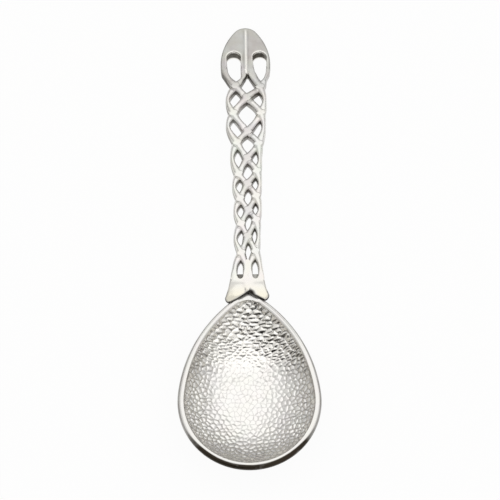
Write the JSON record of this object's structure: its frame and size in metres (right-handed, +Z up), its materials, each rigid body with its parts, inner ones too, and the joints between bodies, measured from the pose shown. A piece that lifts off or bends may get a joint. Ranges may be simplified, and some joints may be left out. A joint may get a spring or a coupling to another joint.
{
  "type": "welsh love spoon",
  "caption": "Small cast pewter love spoon with a pear-shaped pebbled bowl, a smooth rim, an openwork plaited handle and a pointed oval head with two eyes.",
  "frame": {"origin": "middle of the small flat under the bowl, on the surface that the spoon lies on", "axes": "+Z up out of the bowl, +Y along the spoon from the bowl to the head, +X to the right of the spoon seen from above with the head at the top"},
  "size_m": [0.0344, 0.1201, 0.011],
  "materials": {
    "pebbled_pewter": "cast pewter, burnished pebbles with dark gaps between them",
    "polished_pewter": "polished pewter",
    "cast_pewter": "cast pewter, satin, darker in its recesses"
  },
  "bodies": {
    "root": {"bowl": "pebbled_pewter", "rim_band": "polished_pewter", "collar": "polished_pewter", "strand_left_outer": "cast_pewter", "strand_left_inner": "cast_pewter", "strand_right_inner": "cast_pewter", "strand_right_outer": "cast_pewter", "head": "cast_pewter"}
  },
  "joints": []
}
